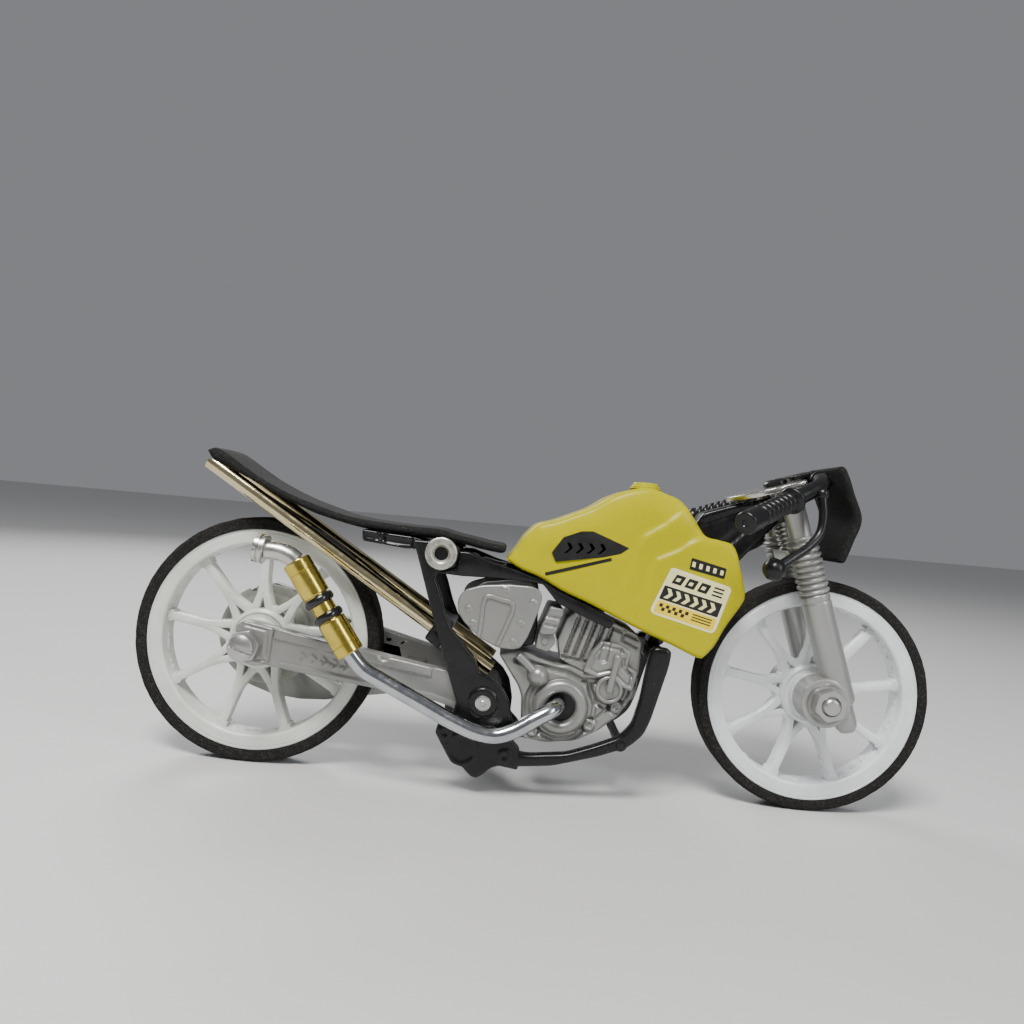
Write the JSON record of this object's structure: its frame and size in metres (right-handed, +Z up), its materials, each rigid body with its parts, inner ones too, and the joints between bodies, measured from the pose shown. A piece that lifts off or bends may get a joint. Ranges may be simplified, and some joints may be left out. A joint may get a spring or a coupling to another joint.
{
  "type": "miniature drag motorcycle",
  "caption": "Small moulded drag motorcycle with steering fork, spinning spoked wheels, pivoting swinging arm, foam seat and metal exhaust.",
  "frame": {"origin": "centre of the bounding box at the ground under the wheels", "axes": "+X forward, +Y to the rider's left, +Z up"},
  "size_m": [0.1574, 0.0526, 0.0682],
  "materials": {
    "white_rim": "semi-gloss milky white moulded plastic",
    "foam_tyre": "grainy charcoal foam",
    "grey_plastic": "satin silver-grey moulded plastic",
    "silver_plastic": "satin silver moulded plastic",
    "black_plastic": "glossy black moulded plastic",
    "yellow_plastic": "glossy yellow moulded plastic",
    "black_foam": "black foam sheet",
    "steel": "bright zinc-plated steel",
    "polished_steel": "polished steel tube",
    "brass_tube": "polished brass tube",
    "gold_rod": "champagne-gold bright tube",
    "o_ring": "glossy black rubber",
    "aluminium_plain": "satin aluminium",
    "sticker": "printed sticker film",
    "bush_metal": "pale metal bush"
  },
  "bodies": {
    "rear_wheel": {"rear_rim": "white_rim", "rear_tyre": "foam_tyre", "rear_disc": "grey_plastic"},
    "front_wheel": {"front_rim": "white_rim", "front_tyre": "foam_tyre"},
    "swingarm": {"swingarm_right": "grey_plastic", "swingarm_left": "grey_plastic", "rear_axle": "steel", "rear_nut_right": "steel", "rear_nut_left": "steel"},
    "fork": {"fork_leg_right": "silver_plastic", "fork_leg_left": "silver_plastic", "front_axle": "steel", "front_nut_right": "steel", "front_nut_left": "steel", "steering_stem": "black_plastic", "stem_spring": "gold_rod", "top_plate": "aluminium_plain", "stem_cap": "steel", "handlebar": "black_plastic", "grip_right": "black_plastic", "grip_left": "black_plastic", "lever_right": "black_plastic", "lever_left": "black_plastic", "number_plate": "black_foam"},
    "frame": {"frame_plate_right": "black_plastic", "frame_plate_left": "black_plastic", "eye_bush_right": "bush_metal", "eye_bush_left": "bush_metal", "pivot_pin": "steel", "cradle_right": "black_plastic", "cradle_left": "black_plastic", "cradle_bolt": "steel", "backbone": "black_plastic", "seat_pad": "black_foam", "seat_tray": "black_plastic", "seat_rod_right": "gold_rod", "seat_rod_left": "gold_rod", "rod_bridge": "black_plastic", "tank_shell": "yellow_plastic", "sticker_side_right": "sticker", "sticker_side_left": "sticker", "sticker_graphic_right": "sticker", "crankcase_right": "silver_plastic", "crankcase_left": "silver_plastic", "clutch_ring": "silver_plastic", "ball_stalk": "silver_plastic", "cylinder_block": "silver_plastic", "head_plate": "silver_plastic", "carburettor": "silver_plastic", "air_box": "silver_plastic", "air_cover_right": "silver_plastic", "air_cover_left": "silver_plastic", "exhaust_pipe": "polished_steel", "exhaust_sleeve_lower": "brass_tube", "exhaust_ring_lower": "o_ring", "exhaust_ring_upper": "o_ring", "exhaust_sleeve_upper": "brass_tube", "exhaust_elbow": "aluminium_plain", "exhaust_collar": "aluminium_plain"}
  },
  "joints": [
    {"name": "steering", "type": "hinge", "parent": "frame", "child": "fork", "pos_m": [0.05283, 0, 0.04319], "axis": [-0.3181, 0, 0.948], "range_deg": [-15, 15]},
    {"name": "front_wheel_spin", "type": "hinge", "parent": "fork", "child": "front_wheel", "pos_m": [0.05585, 0, 0.0229], "axis": [0, 1, 0], "continuous": true},
    {"name": "swingarm_pivot", "type": "hinge", "parent": "frame", "child": "swingarm", "pos_m": [-0.0088, 0, 0.0176], "axis": [0, 1, 0], "range_deg": [-3, 3]},
    {"name": "rear_wheel_spin", "type": "hinge", "parent": "swingarm", "child": "rear_wheel", "pos_m": [-0.0545, 0, 0.02425], "axis": [0, 1, 0], "continuous": true}
  ]
}
